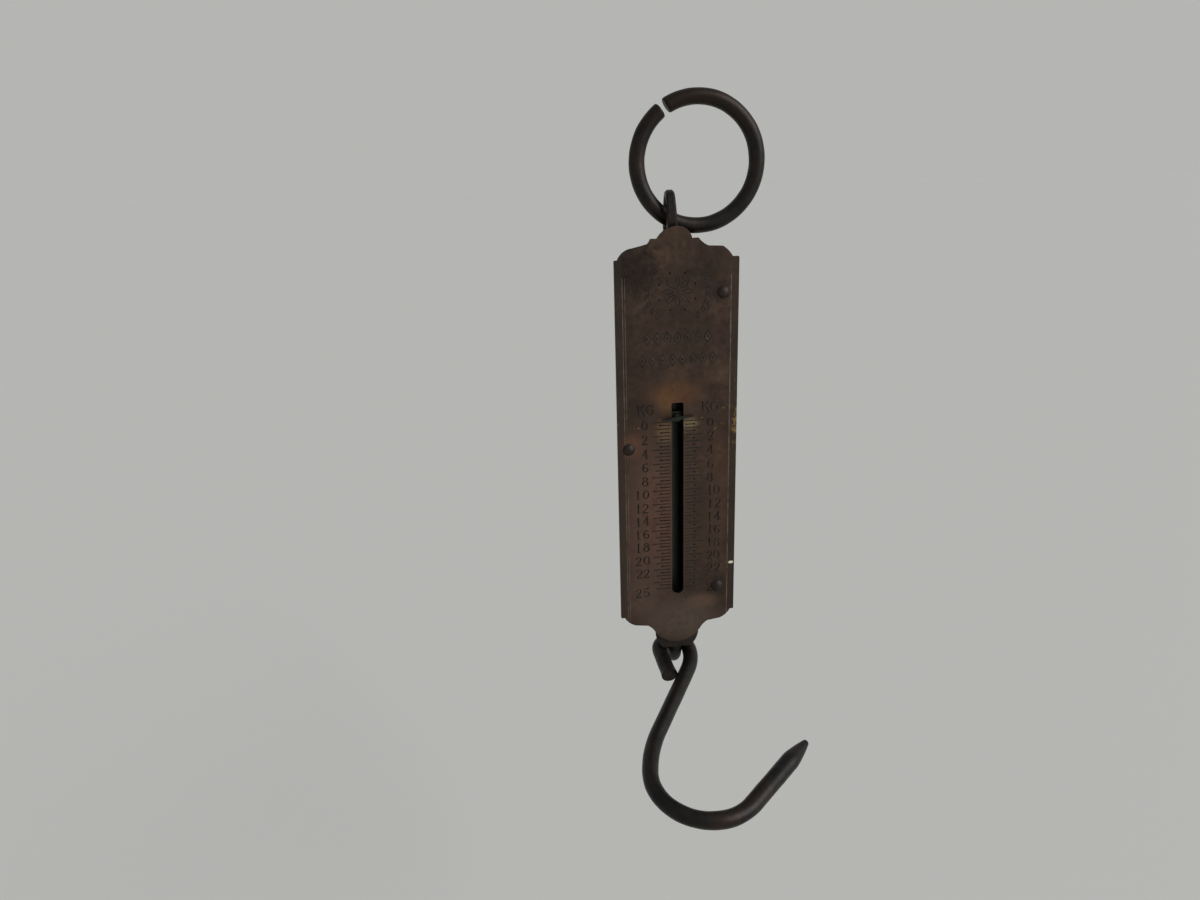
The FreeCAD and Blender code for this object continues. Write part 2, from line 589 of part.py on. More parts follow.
def load_hook():
    """Hook bent from round bar: a curl through the rod's eye, a bowl and a filed point."""
    lean = math.radians(CURL_TAIL_ANGLE)
    rise = vec(-math.sin(lean), -math.cos(lean), 0)
    curl_start = vec(-CURL_RADIUS * math.cos(lean) - HOOK_OFFSET,
                     CURL_RADIUS + CURL_RADIUS * math.sin(lean), 0)
    tail = curl_start - rise * CURL_TAIL
    line = HookLine(tail, math.radians(-90 - CURL_TAIL_ANGLE))
    line.run(CURL_TAIL)
    line.turn(CURL_RADIUS, 180 + CURL_TAIL_ANGLE)
    line.turn(CURL_EXIT_RADIUS, CURL_EXIT_ANGLE)
    line.run(SHANK_LENGTH)
    line.turn(SHOULDER_RADIUS, -SHOULDER_ANGLE)
    line.turn(BOWL_RADIUS, -BOWL_ANGLE)
    line.run(ARM_LENGTH)
    section = Part.Wire(Part.Circle(tail, rise, HOOK_WIRE_RADIUS).toShape())
    bar = Part.Wire(line.edges).makePipeShell([section], True, False)
    cone = Part.makeCone(HOOK_WIRE_RADIUS, TIP_RADIUS, TIP_LENGTH, line.point, line.ahead())
    hook = bar.fuse(cone).removeSplitter()
    hook.rotate(vec(0, 0, 0), X_AXIS, -(90 + HOOK_SWING_ANGLE))
    hook.translate(on_load_line(EYE_HEIGHT))
    return hook


PIECES = {
    "hanging_ring": hanging_ring,
    "hanging_loop": hanging_loop,
    "face_plate": face_plate,
    "face_rivets": face_rivets,
    "back_casing": back_casing,
    "top_block": top_block,
    "bottom_block": bottom_block,
    "block_rivets": block_rivets,
    "upper_spring_plug": upper_plug,
    "upper_plug_pin": lambda: cross_pin(UPPER_PIN_HEIGHT, PIN_RADIUS),
    "main_spring": main_spring,
    "lower_spring_plug": lower_plug,
    "lower_plug_pin": lambda: cross_pin(LOWER_PIN_HEIGHT, PIN_RADIUS),
    "pointer": pointer,
    "pull_rod": pull_rod,
    "load_hook": load_hook,
}

os.makedirs("parts", exist_ok=True)
for node, make in PIECES.items():
    piece = make()
    piece.translate(-ORIGIN)
    piece.exportStep("parts/" + node + ".step")
    print(node, "solids", len(piece.Solids), "valid", piece.isValid(),
          "volume", round(piece.Volume, 1))
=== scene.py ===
import json
import math
import random

import bpy
from mathutils import Matrix, Vector


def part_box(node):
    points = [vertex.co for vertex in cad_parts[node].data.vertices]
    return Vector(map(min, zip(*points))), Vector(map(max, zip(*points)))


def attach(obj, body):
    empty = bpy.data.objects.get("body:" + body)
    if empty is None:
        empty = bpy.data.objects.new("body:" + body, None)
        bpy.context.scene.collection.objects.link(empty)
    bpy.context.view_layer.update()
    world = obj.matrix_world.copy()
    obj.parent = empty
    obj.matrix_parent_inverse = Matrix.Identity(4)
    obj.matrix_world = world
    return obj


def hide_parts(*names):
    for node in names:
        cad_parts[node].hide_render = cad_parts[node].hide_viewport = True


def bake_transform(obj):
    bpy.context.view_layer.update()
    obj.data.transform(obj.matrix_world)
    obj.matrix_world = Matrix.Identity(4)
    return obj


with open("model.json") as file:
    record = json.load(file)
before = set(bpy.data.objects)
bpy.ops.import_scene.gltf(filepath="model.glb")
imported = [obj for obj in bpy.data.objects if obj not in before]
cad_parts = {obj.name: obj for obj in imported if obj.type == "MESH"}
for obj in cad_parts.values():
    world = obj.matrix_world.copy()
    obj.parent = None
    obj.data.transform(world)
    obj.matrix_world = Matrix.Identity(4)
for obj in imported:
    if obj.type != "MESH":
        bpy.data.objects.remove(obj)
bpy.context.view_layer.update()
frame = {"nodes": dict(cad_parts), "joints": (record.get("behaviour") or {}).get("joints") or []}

MM = 0.001

# The camera stands as it did for the photograph, whose picture was 1200 by 900 pixels
CAMERA_PLACE = Vector((-65.1, -252.6, -17.6)) * MM
CAMERA_YAW = 8.12
CAMERA_PITCH = -16.9
CAMERA_ROLL = -1.58
SENSOR_WIDTH = 36.0
FOCAL_PIXELS = 903.0
PICTURE_WIDTH = 1200.0

# Places on the face plate are millimetres right of its middle line and above its centre
LOBE_TIP = 61.9
plate_low, plate_high = (Vector(corner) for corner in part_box("face_plate"))
PLATE_MIDDLE = (plate_low.x + plate_high.x) / 2
PLATE_FRONT = plate_low.y
PLATE_CENTRE = plate_high.z - LOBE_TIP * MM

# Below the casing's foot the rod has been oiled black; above it the bar is bare, and painted a
# paler grey as painted light on the rod seen down the dark slot
CASE_FOOT = PLATE_CENTRE - 57.0 * MM
ROD_CHANGE = 2.0

# Scale: half-kilogram marks on both sides of the slot
ZERO_HEIGHT = 7.5
MARK_PITCH = 2.084
MARK_COUNT = 25
MARK_START = 2.2
MARK_ENDS = {"half": 5.0, "whole": 6.6, "even": 7.5}
MARK_HALF_WIDTH = 0.17
NUMBERS = (0, 2, 4, 6, 8, 10, 12, 14, 16, 18, 20, 22, 25)
NUMBER_HEIGHT = 2.7
NUMBER_WIDENING = 1.15
NUMBER_DROP = 0.85
NUMBER_INSIDE = 8.8
NUMBER_SLIP = 0.12
NUMBER_TILT = 4
DIGIT_PITCH = 2.25
DIGIT_WIDTH = 0.62
STROKE_RADIUS = 0.25
STROKE_LIFT = 0.06
DOT_RADIUS = 0.46
MARK_SLIP = 0.08
UNIT_STARTS = (-11.6, 7.2)
UNIT_HEIGHT = 11.3
UNIT_SIZE = 3.0
UNIT_PITCH = 2.5
UNIT_TILT = 3

# Fine lines scribed down both sides of the plate
BORDER_LINES = ((-15.4, 0.09), (-14.7, 0.07), (15.3, 0.15))
BORDER_TOP = 48.5
BORDER_BOTTOM = -55.0

# Plain ornament, nearly worn away: two rows of lozenges, and a rosette between two sprigs
LOZENGE_ROWS = ((31.5, 7), (25.4, 8))
LOZENGE_PITCH = 2.9
LOZENGE_SIZE = (1.05, 1.8)
LOZENGE_GROOVE = 0.16
LOZENGE_DOT = 0.42
ROSETTE_HEIGHT = 44.3
ROSETTE_PETALS = 8
ROSETTE_REACH = (1.2, 4.4)
ROSETTE_DOTS = 5.5
ROSETTE_DOT = 0.5
SPRIG_RADIUS = 8.2
SPRIG_LEAF = (0.3, 2.2)
SPRIG_TURNS = (-42, -28, -14, 0, 14, 28, 42)
SPRIG_LEAF_LEAN = 60
SPRIG_ENDS = (-56, 50)
STEM_STEPS = 8
STEM_THICKNESS = 0.9
PETAL_HALF_WIDTH = 0.26
WORN_RADIUS = 0.17
WORN_LIFT = 0.07

# Places on the plate that differ from its general brown: x, z, half width, half height,
# colour and how strongly it shows. The pale patch at the plate's foot, at (0.5, -55.5), is a
# painted sheen
TONE_AND_SHEEN_PATCHES = (
    (-13.5, 50.5, 8.0, 7.0, "#2c2420", 0.85), (-7.0, -24.0, 9.0, 26.0, "#665045", 0.75),
    (-5.5, -20.0, 5.0, 14.0, "#6a4a3d", 0.4), (5.5, -27.0, 3.5, 16.0, "#4e4034", 0.5),
    (-3.0, 34.0, 13.0, 9.0, "#42362e", 0.5), (-1.0, 15.5, 7.0, 3.5, "#6f4c34", 0.55),
    (-3.4, 13.0, 2.5, 3.0, "#7c5a38", 0.35), (-3.6, 4.6, 2.4, 3.2, "#80684a", 0.5),
    # The second patch on the next line, pale at the plate's foot, is a painted sheen
    (3.6, 6.6, 2.2, 1.5, "#8a7a5a", 0.7), (0.5, -55.5, 11.0, 7.0, "#64564c", 0.8),
    (7.3, -49.8, 4.5, 2.2, "#735c4e", 0.5), (-12.0, -47.0, 5.0, 6.0, "#66544a", 0.5),
    (-13.4, 1.0, 3.2, 3.4, "#74503f", 0.5), (12.6, -43.8, 3.0, 3.0, "#3a302a", 0.7),
    (12.4, 44.2, 3.0, 3.0, "#382c27", 0.7), (12.5, -4.0, 3.5, 7.0, "#5c4335", 0.5),
    (12.0, -22.0, 4.0, 10.0, "#5c483b", 0.5),
)
PATCH_SOFTNESS = 0.55
# A chip of pale paint that sticks to the right edge
PAINT_CHIP = (16.45, -37.8, 0.75, 0.42)
CHIP_SOFTNESS = 0.12
CHIP_COLOUR = "#d8cfb2"
# Brass flecks rubbed bright along the right edge: from and to where, middle and reach
WORN_EDGE = (15.6, 17.6)
WORN_STRETCH = (7.0, 18.0)
FLECK_COLOUR = "#9a7a4a"
# Duller brown outside the scribed lines
RIM_START = 15.3
RIM_BLEND = 0.3
RIM_COLOUR = "#3c352e"
# Scratches: their angle, how rare they are and how strongly they show
SCRATCHES = ((38.0, 0.69, 0.35), (-52.0, 0.71, 0.3), (4.0, 0.7, 0.25))
SCRATCH_SIZE = (0.16, 9.0)
SCRATCH_COLOUR = "#7d6a54"

# Digits and unit letters as strokes on a cell 1 high: x, y and thickness of each point
CELL_MIDDLE = 0.31
ARCS = {
    "zero": (0.31, 0.5, 0.25, 0.47), "upper": (0.31, 0.76, 0.19, 0.22),
    "lower": (0.31, 0.27, 0.25, 0.27),
}
STROKES = {
    "0": ["zero"],
    "1": [[(0.31, 0.0, 1.0), (0.31, 1.0, 1.0)], [(0.31, 1.0, 0.6), (0.14, 0.82, 0.5)],
          [(0.12, 0.0, 0.5), (0.50, 0.0, 0.5)]],
    "2": [[(0.10, 0.72, 0.9), (0.10, 0.90, 0.6), (0.32, 1.0, 0.6), (0.55, 0.86, 0.9),
           (0.52, 0.62, 1.0), (0.30, 0.32, 0.8), (0.06, 0.02, 0.6)],
          [(0.06, 0.0, 0.9), (0.32, 0.02, 1.0), (0.58, 0.0, 0.8)]],
    "4": [[(0.42, 1.0, 0.6), (0.22, 0.64, 0.6), (0.02, 0.28, 0.6)],
          [(0.02, 0.28, 0.7), (0.60, 0.28, 0.7)], [(0.42, 1.0, 1.0), (0.42, 0.0, 1.0)],
          [(0.28, 0.0, 0.5), (0.56, 0.0, 0.5)]],
    "5": [[(0.12, 0.97, 0.9), (0.54, 0.99, 1.0)], [(0.13, 0.97, 0.6), (0.09, 0.55, 0.6)],
          [(0.09, 0.53, 0.5), (0.30, 0.64, 0.7), (0.54, 0.50, 0.9), (0.56, 0.22, 1.0),
           (0.34, 0.0, 0.7), (0.10, 0.04, 0.7), (0.07, 0.18, 0.9)]],
    "6": [[(0.52, 0.86, 0.9), (0.40, 1.0, 0.6), (0.16, 0.86, 0.8), (0.06, 0.46, 1.0),
           (0.12, 0.10, 0.9), (0.33, 0.0, 0.6), (0.54, 0.13, 0.9), (0.54, 0.42, 0.9),
           (0.34, 0.58, 0.6), (0.12, 0.42, 0.6)]],
    "8": ["upper", "lower"],
    "K": [[(0.08, 0.0, 1.0), (0.08, 1.0, 1.0)], [(0.56, 1.0, 0.7), (0.10, 0.42, 0.7)],
          [(0.24, 0.58, 0.8), (0.60, 0.0, 1.0)]],
    "G": [[(0.58, 0.82, 0.8), (0.36, 1.0, 0.7), (0.08, 0.78, 0.9), (0.04, 0.40, 1.0),
           (0.20, 0.02, 0.8), (0.48, 0.02, 0.8), (0.58, 0.22, 0.9), (0.58, 0.42, 0.9)],
          [(0.38, 0.42, 0.7), (0.66, 0.42, 0.7)]],
}

# Bent bars
BAR_SIDES = 28
BAR_STEP = 1.3
RING_WIRE = 2.2
RING_MEAN = 16.9
RING_GAP_START = 126.7
RING_TURN = 354.6
# The crown's brown sets in this far above the ring's middle, full this far below its top
CROWN_START = 5
CROWN_FULL = 3
HOOK_BAR = 2.3
HOOK_ANGLE = 78.0
HOOK_OFFSET = 0.3
CURL = 4.7
CURL_TAIL = 11.0
CURL_TAIL_LEAN = 4.0
# Way of each stretch: its radius and degrees, or its length, and how much thicker it ends
HOOK_TURNS_AND_RUNS = (
    (4.7, 184.0, 1.0), (18.7, 30.8, 1.0), (27.9, None, 0.975), (39.2, -21.4, 0.985),
    (14.8, -50.0, 1.02), (14.8, -45.0, 1.03), (14.8, -45.4, 1.04), (18.9, None, 1.035),
)
TIP_RUNS = ((1.7, 0.9), (1.7, 0.867), (1.7, 0.83), (1.7, 0.77), (1.4, 0.76), (0.3, 0.8))
TAIL_FLARE = 1.1
TAIL_FLARE_LENGTH = 2.6

# Spring
SPRING_WIRE = 0.85
SPRING_MEAN = 5.5
SPRING_TURNS = 13
SPRING_BEND = 2.0
TURN_POINTS = 16

# Floor under the lowest place that the open hook reaches with the rod drawn out
FLOOR_DROP = 0.288
FLOOR_SIZE = 40.0

# Light from the right and above, in front of the piece
WINDOW_SIDE = (0.78, -0.5, 0.5)
WINDOW_SPREAD = 50.0
WINDOW_STRENGTH = 2.2
ROOM_STRENGTH = 0.5


def linear(hex_colour):
    """Linear colour with full alpha from an sRGB hex value."""
    channels = [int(hex_colour[i:i + 2], 16) / 255 for i in (1, 3, 5)]
    return tuple(c / 12.92 if c <= 0.04045 else ((c + 0.055) / 1.055) ** 2.4
                 for c in channels) + (1.0,)


def add(tree, kind, settings=(), links=()):
    """Adds a node, sets its properties, sockets and colour stops, and links its inputs."""
    node = tree.nodes.new(kind)
    for name, value in dict(settings).items():
        if name == "stops":
            elements = node.color_ramp.elements
            while len(elements) < len(value):
                elements.new(0.5)
            for element, (position, colour) in zip(elements, value):
                element.position = position
                element.color = colour
        elif isinstance(name, int) or name in node.inputs:
            node.inputs[name].default_value = value
        else:
            setattr(node, name, value)
    for name, output in dict(links).items():
        tree.links.new(output, node.inputs[name])
    return node


def new_material(name):
    """Empty node material and its Principled shader."""
    material = bpy.data.materials.new(name)
    material.use_nodes = True
    tree = material.node_tree
    return material, tree, tree.nodes["Principled BSDF"]


def grey(value):
    """Opaque grey stop for a mask."""
    return (value, value, value, 1.0)


def per_metre(size_mm):
    """Noise scale that gives patches of about this size."""
    return 1.0 / (size_mm * MM)


def steel_finish(name, dark, light, stain, patch_mm, metallic, rough, stain_share, pits,
                 upper=None):
    """Dark iron or steel: patches of two tones, a brown stain, a fine grain and pits.

    Its upper part may be another colour, which sets in between two heights.
    """
    material, tree, shader = new_material(name)
    place = add(tree, "ShaderNodeTexCoord").outputs["Object"]
    patches = add(tree, "ShaderNodeTexNoise",
                  {"Scale": per_metre(patch_mm), "Detail": 6.0, "Roughness": 0.6},
                  {"Vector": place}).outputs["Fac"]
    tones = add(tree, "ShaderNodeValToRGB",
                {"stops": ((0.36, linear(dark)), (0.68, linear(light)))},
                {"Fac": patches}).outputs["Color"]
    blotches = add(tree, "ShaderNodeTexNoise",
                   {"Scale": per_metre(patch_mm * 2.3), "Detail": 8.0, "Roughness": 0.68},
                   {"Vector": place}).outputs["Fac"]
    stained = add(tree, "ShaderNodeValToRGB",
                  {"stops": ((0.62 - stain_share * 0.3, grey(0.0)), (0.8, grey(1.0)))},
                  {"Fac": blotches}).outputs["Color"]
    skin = add(tree, "ShaderNodeMix", {"data_type": "RGBA", 7: linear(stain)},
               {0: stained, 6: tones}).outputs[2]
    if upper:
        low, high, colour = upper
        up = add(tree, "ShaderNodeSeparateXYZ", (), {"Vector": place}).outputs["Z"]
        above = add(tree, "ShaderNodeMapRange", {"From Min": low, "From Max": high},
                    {"Value": up}).outputs["Result"]
        skin = add(tree, "ShaderNodeMix", {"data_type": "RGBA", 7: linear(colour)},
                   {0: above, 6: skin}).outputs[2]
    grain = add(tree, "ShaderNodeTexNoise",
                {"Scale": per_metre(0.5), "Detail": 4.0, "Roughness": 0.7},
                {"Vector": place}).outputs["Fac"]
    gloss = add(tree, "ShaderNodeMapRange",
                {"From Min": 0.3, "From Max": 0.75, "To Min": rough - 0.08,
                 "To Max": rough + 0.12},
                {"Value": grain}).outputs["Result"]
    dents = add(tree, "ShaderNodeTexNoise",
                {"Scale": per_metre(1.6), "Detail": 5.0, "Roughness": 0.6},
                {"Vector": place}).outputs["Fac"]
    relief = add(tree, "ShaderNodeBump", {"Strength": 0.35 * pits, "Distance": 0.12 * MM},
                 {"Height": dents}).outputs["Normal"]
    relief = add(tree, "ShaderNodeBump", {"Strength": 0.25 * pits, "Distance": 0.04 * MM},
                 {"Height": grain, "Normal": relief}).outputs["Normal"]
    shader.inputs["Metallic"].default_value = metallic
    tree.links.new(skin, shader.inputs["Base Color"])
    tree.links.new(gloss, shader.inputs["Roughness"])
    tree.links.new(relief, shader.inputs["Normal"])
    return material


def patch_mask(tree, on_face, ragged, patch, soft):
    """How far a place lies inside an ellipse on the plate, with a ragged edge."""
    x, z, half_width, half_height = patch
    squeezed = add(tree, "ShaderNodeVectorMath",
                   {"operation": "MULTIPLY", 1: (per_metre(half_width), 0.0,
                                                 per_metre(half_height))},
                   {0: on_face}).outputs["Vector"]
    away = add(tree, "ShaderNodeVectorMath",
               {"operation": "DISTANCE", 1: (x / half_width, 0.0, z / half_height)},
               {0: squeezed}).outputs["Value"]
    away = add(tree, "ShaderNodeMath", {"operation": "MULTIPLY_ADD", 1: 1.6},
               {0: ragged, 2: away}).outputs["Value"]
    return add(tree, "ShaderNodeMapRange",
               {"interpolation_type": "SMOOTHSTEP", "From Min": 1.8 - soft,
                "From Max": 1.8 + soft, "To Min": 1.0, "To Max": 0.0},
               {"Value": away}).outputs["Result"]


def scratches(tree, place, angle, across_mm, along_mm, least):
    """Thin straight marks that run at an angle on the plate."""
    turned = add(tree, "ShaderNodeMapping",
                 {"Rotation": (0.0, math.radians(angle), 0.0)}, {"Vector": place})
    drawn_out = add(tree, "ShaderNodeMapping",
                    {"Scale": (per_metre(across_mm), per_metre(across_mm),
                               per_metre(along_mm))},
                    {"Vector": turned.outputs["Vector"]})
    lines = add(tree, "ShaderNodeTexNoise", {"Scale": 1.0, "Detail": 2.0},
                {"Vector": drawn_out.outputs["Vector"]}).outputs["Fac"]
    return add(tree, "ShaderNodeMapRange", {"From Min": least, "From Max": least + 0.06},
               {"Value": lines}).outputs["Result"]


def patinated_brass():
    """Rolled brass sheet gone chocolate brown, with redder, olive and rubbed places, and a painted
    sheen at its foot.
    """
    material, tree, shader = new_material("patinated_rolled_brass_and_painted_sheen")
    place = add(tree, "ShaderNodeTexCoord").outputs["Object"]
    on_face = add(tree, "ShaderNodeMapping",
                  {"Location": (-PLATE_MIDDLE, -PLATE_FRONT, -PLATE_CENTRE)},
                  {"Vector": place}).outputs["Vector"]
    clouds = add(tree, "ShaderNodeTexNoise",
                 {"Scale": per_metre(12.0), "Detail": 7.0, "Roughness": 0.6},
                 {"Vector": place}).outputs["Fac"]
    fine = add(tree, "ShaderNodeTexNoise",
               {"Scale": per_metre(2.2), "Detail": 8.0, "Roughness": 0.72},
               {"Vector": place}).outputs["Fac"]
    skin = add(tree, "ShaderNodeValToRGB",
               {"stops": ((0.34, linear("#3b2f29")), (0.52, linear("#483930")),
                          (0.7, linear("#554438")))},
               {"Fac": clouds}).outputs["Color"]
    # Tones of the patina, and the painted sheen at the plate's foot, laid over the brown
    for *patch, colour, share in TONE_AND_SHEEN_PATCHES:
        mask = patch_mask(tree, on_face, fine, patch, PATCH_SOFTNESS)
        mask = add(tree, "ShaderNodeMath", {"operation": "MULTIPLY", 1: share},
                   {0: mask}).outputs["Value"]
        skin = add(tree, "ShaderNodeMix", {"data_type": "RGBA", 7: linear(colour)},
                   {0: mask, 6: skin}).outputs[2]
    mottle = add(tree, "ShaderNodeMapRange",
                 {"From Min": 0.3, "From Max": 0.7, "To Min": 0.72, "To Max": 1.24},
                 {"Value": fine}).outputs["Result"]
    skin = add(tree, "ShaderNodeVectorMath", {"operation": "SCALE"},
               {0: skin, "Scale": mottle}).outputs["Vector"]
    place_on_face = add(tree, "ShaderNodeSeparateXYZ", (), {"Vector": on_face}).outputs
    aside = add(tree, "ShaderNodeMath", {"operation": "ABSOLUTE"},
                {0: place_on_face["X"]}).outputs["Value"]
    rim = add(tree, "ShaderNodeMapRange",
              {"From Min": RIM_START * MM, "From Max": (RIM_START + RIM_BLEND) * MM,
               "To Max": 0.55},
              {"Value": aside}).outputs["Result"]
    skin = add(tree, "ShaderNodeMix", {"data_type": "RGBA", 7: linear(RIM_COLOUR)},
               {0: rim, 6: skin}).outputs[2]
    edge = add(tree, "ShaderNodeMapRange",
               {"From Min": WORN_EDGE[0] * MM, "From Max": WORN_EDGE[1] * MM,
                "To Min": -0.1, "To Max": 0.05},
               {"Value": place_on_face["X"]}).outputs["Result"]
    middle, reach = WORN_STRETCH
    along = add(tree, "ShaderNodeMath", {"operation": "SUBTRACT", 1: middle * MM},
                {0: place_on_face["Z"]}).outputs["Value"]
    along = add(tree, "ShaderNodeMath", {"operation": "ABSOLUTE"}, {0: along}).outputs["Value"]
    along = add(tree, "ShaderNodeMapRange",
                {"From Max": reach * MM, "To Min": 0.13, "To Max": -0.03},
                {"Value": along}).outputs["Result"]
    flecks = add(tree, "ShaderNodeTexNoise",
                 {"Scale": per_metre(1.9), "Detail": 8.0, "Roughness": 0.78},
                 {"Vector": place}).outputs["Fac"]
    worn = add(tree, "ShaderNodeMath", {"operation": "ADD"},
               {0: edge, 1: flecks}).outputs["Value"]
    worn = add(tree, "ShaderNodeMath", {"operation": "ADD"},
               {0: worn, 1: along}).outputs["Value"]
    worn = add(tree, "ShaderNodeMapRange",
               {"From Min": 0.6, "From Max": 0.7, "To Min": 0.0, "To Max": 0.85},
               {"Value": worn}).outputs["Result"]
    skin = add(tree, "ShaderNodeMix", {"data_type": "RGBA", 7: linear(FLECK_COLOUR)},
               {0: worn, 6: skin}).outputs[2]
    for angle, least, share in SCRATCHES:
        lines = scratches(tree, place, angle, *SCRATCH_SIZE, least)
        lines = add(tree, "ShaderNodeMath", {"operation": "MULTIPLY", 1: share},
                    {0: lines}).outputs["Value"]
        skin = add(tree, "ShaderNodeMix", {"data_type": "RGBA", 7: linear(SCRATCH_COLOUR)},
                   {0: lines, 6: skin}).outputs[2]
    chip = patch_mask(tree, on_face, fine, PAINT_CHIP, CHIP_SOFTNESS)
    skin = add(tree, "ShaderNodeMix", {"data_type": "RGBA", 7: linear(CHIP_COLOUR)},
               {0: chip, 6: skin}).outputs[2]
    metal = add(tree, "ShaderNodeMapRange", {"To Min": 0.85, "To Max": 0.0},
                {"Value": chip}).outputs["Result"]
    gloss = add(tree, "ShaderNodeMapRange",
                {"From Min": 0.3, "From Max": 0.75, "To Min": 0.4, "To Max": 0.6},
                {"Value": fine}).outputs["Result"]
    relief = add(tree, "ShaderNodeBump", {"Strength": 0.25, "Distance": 0.08 * MM},
                 {"Height": fine}).outputs["Normal"]
    tree.links.new(skin, shader.inputs["Base Color"])
    tree.links.new(metal, shader.inputs["Metallic"])
    tree.links.new(gloss, shader.inputs["Roughness"])
    tree.links.new(relief, shader.inputs["Normal"])
    return material


def dirt_in_marks():
    """Old dirt and verdigris packed in the punched marks: nearly black and quite matt."""
    material, tree, shader = new_material("dirt_in_punched_marks")
    place = add(tree, "ShaderNodeTexCoord").outputs["Object"]
    patches = add(tree, "ShaderNodeTexNoise",
                  {"Scale": per_metre(3.0), "Detail": 4.0}, {"Vector": place}).outputs["Fac"]
    skin = add(tree, "ShaderNodeValToRGB",
               {"stops": ((0.35, linear("#1d1613")), (0.7, linear("#33271f")))},
               {"Fac": patches}).outputs["Color"]
    tree.links.new(skin, shader.inputs["Base Color"])
    shader.inputs["Metallic"].default_value = 0.4
    shader.inputs["Roughness"].default_value = 0.6
    return material


def rubbed_lines():
    """Scribed lines that show paler than the plate: partly worn bare brass, partly a painted
    highlight along their groove walls.
    """
    material, tree, shader = new_material("worn_scribed_brass_and_painted_highlight")
    place = add(tree, "ShaderNodeTexCoord").outputs["Object"]
    patches = add(tree, "ShaderNodeTexNoise",
                  {"Scale": per_metre(4.0), "Detail": 5.0, "Roughness": 0.7},
                  {"Vector": place}).outputs["Fac"]
    skin = add(tree, "ShaderNodeValToRGB",
               # Paler than the plate's brown: worn brass, brightened further as a painted
               # highlight
               {"stops": ((0.36, linear("#4a3d35")), (0.66, linear("#8b7d70")))},
               {"Fac": patches}).outputs["Color"]
    tree.links.new(skin, shader.inputs["Base Color"])
    shader.inputs["Metallic"].default_value = 0.8
    shader.inputs["Roughness"].default_value = 0.45
    return material


def select_only(piece):
    """Makes one object the only one selected, and active."""
    bpy.ops.object.select_all(action="DESELECT")
    piece.select_set(True)
    bpy.context.view_layer.objects.active = piece


def apply_modifiers(piece):
    """Applies every modifier of a piece, from the first to the last."""
    select_only(piece)
    for modifier in list(piece.modifiers):
        bpy.ops.object.modifier_apply(modifier=modifier.name)


def bake_place(piece):
    """Puts a piece's place into its mesh."""
    select_only(piece)
    bpy.ops.object.transform_apply(location=True, rotation=True, scale=True)


def on_plate(x, z, out=0.0):
    """Point on the plate's front, or a little in front of it."""
    return Vector((PLATE_MIDDLE + x * MM, PLATE_FRONT - out * MM, PLATE_CENTRE + z * MM))


def joined(parts, name):
    """Joins several objects into one with a new name."""
    select_only(parts[0])
    for part in parts:
        part.select_set(True)
    bpy.ops.object.join()
    whole = bpy.context.object
    whole.name = name
    bake_place(whole)
    return whole


def groove(start, end, half_width):
    """V-shaped cutter: a square bar laid on edge in the plate's front."""
    span = end - start
    bpy.ops.mesh.primitive_cylinder_add(vertices=4, radius=half_width * MM,
                                        depth=span.length, location=(start + end) / 2)
    cutter = bpy.context.object
    cutter.rotation_mode = "QUATERNION"
    cutter.rotation_quaternion = span.to_track_quat("Z", "Y")
    bake_place(cutter)
    return cutter


def stroke_points(stroke):
    """Points of a stroke, worked out where it is a whole ellipse."""
    if not isinstance(stroke, str):
        return stroke, False
    x, y, wide, high = ARCS[stroke]
    turns = [2 * math.pi * step / 12 for step in range(12)]
    return [(x + wide * math.cos(a), y + high * math.sin(a), 0.55 + 0.45 * abs(math.cos(a)))
            for a in turns], True


def punch(strokes, radius, lift):
    """Cutter of round-bottomed strokes, given as points on the plate with thicknesses."""
    data = bpy.data.curves.new("punch", "CURVE")
    data.dimensions = "3D"
    data.bevel_depth = radius * MM
    data.bevel_resolution = 2
    data.use_fill_caps = True
    data.resolution_u = 3
    for points, closed in strokes:
        spline = data.splines.new("NURBS")
        spline.points.add(len(points) - 1)
        for point, (x, z, thickness) in zip(spline.points, points):
            point.co = (*on_plate(x, z, lift), 1.0)
            point.radius = thickness
        spline.order_u = 3
        spline.use_endpoint_u = not closed
        spline.use_cyclic_u = closed
    piece = bpy.data.objects.new("punch", data)
    bpy.context.collection.objects.link(piece)
    select_only(piece)
    bpy.ops.object.convert(target="MESH")
    return bpy.context.object


def sign(text, corner_x, base_z, height, tilt=0.0):
    """Cutter for one punched sign, tilted about the middle of its foot."""
    cosine = math.cos(math.radians(tilt))
    sine = math.sin(math.radians(tilt))
    strokes = []
    for stroke in STROKES[text]:
        points, closed = stroke_points(stroke)
        placed = []
        for x, y, thickness in points:
            x = (x - CELL_MIDDLE) * NUMBER_WIDENING
            placed.append((corner_x + (x * cosine - y * sine + CELL_MIDDLE) * height,
                           base_z + (x * sine + y * cosine) * height, thickness))
        strokes.append((placed, closed))
    return punch(strokes, STROKE_RADIUS, STROKE_LIFT)


def dot(x, z, radius):
    """Cone-shaped cutter for a punched dot."""
    bpy.ops.mesh.primitive_cone_add(vertices=10, radius1=radius * MM, radius2=radius * 0.3 * MM,
                                    depth=radius * 1.6 * MM, location=on_plate(x, z),
                                    rotation=(-math.pi / 2, 0, 0))
    cutter = bpy.context.object
    bake_place(cutter)
    return cutter


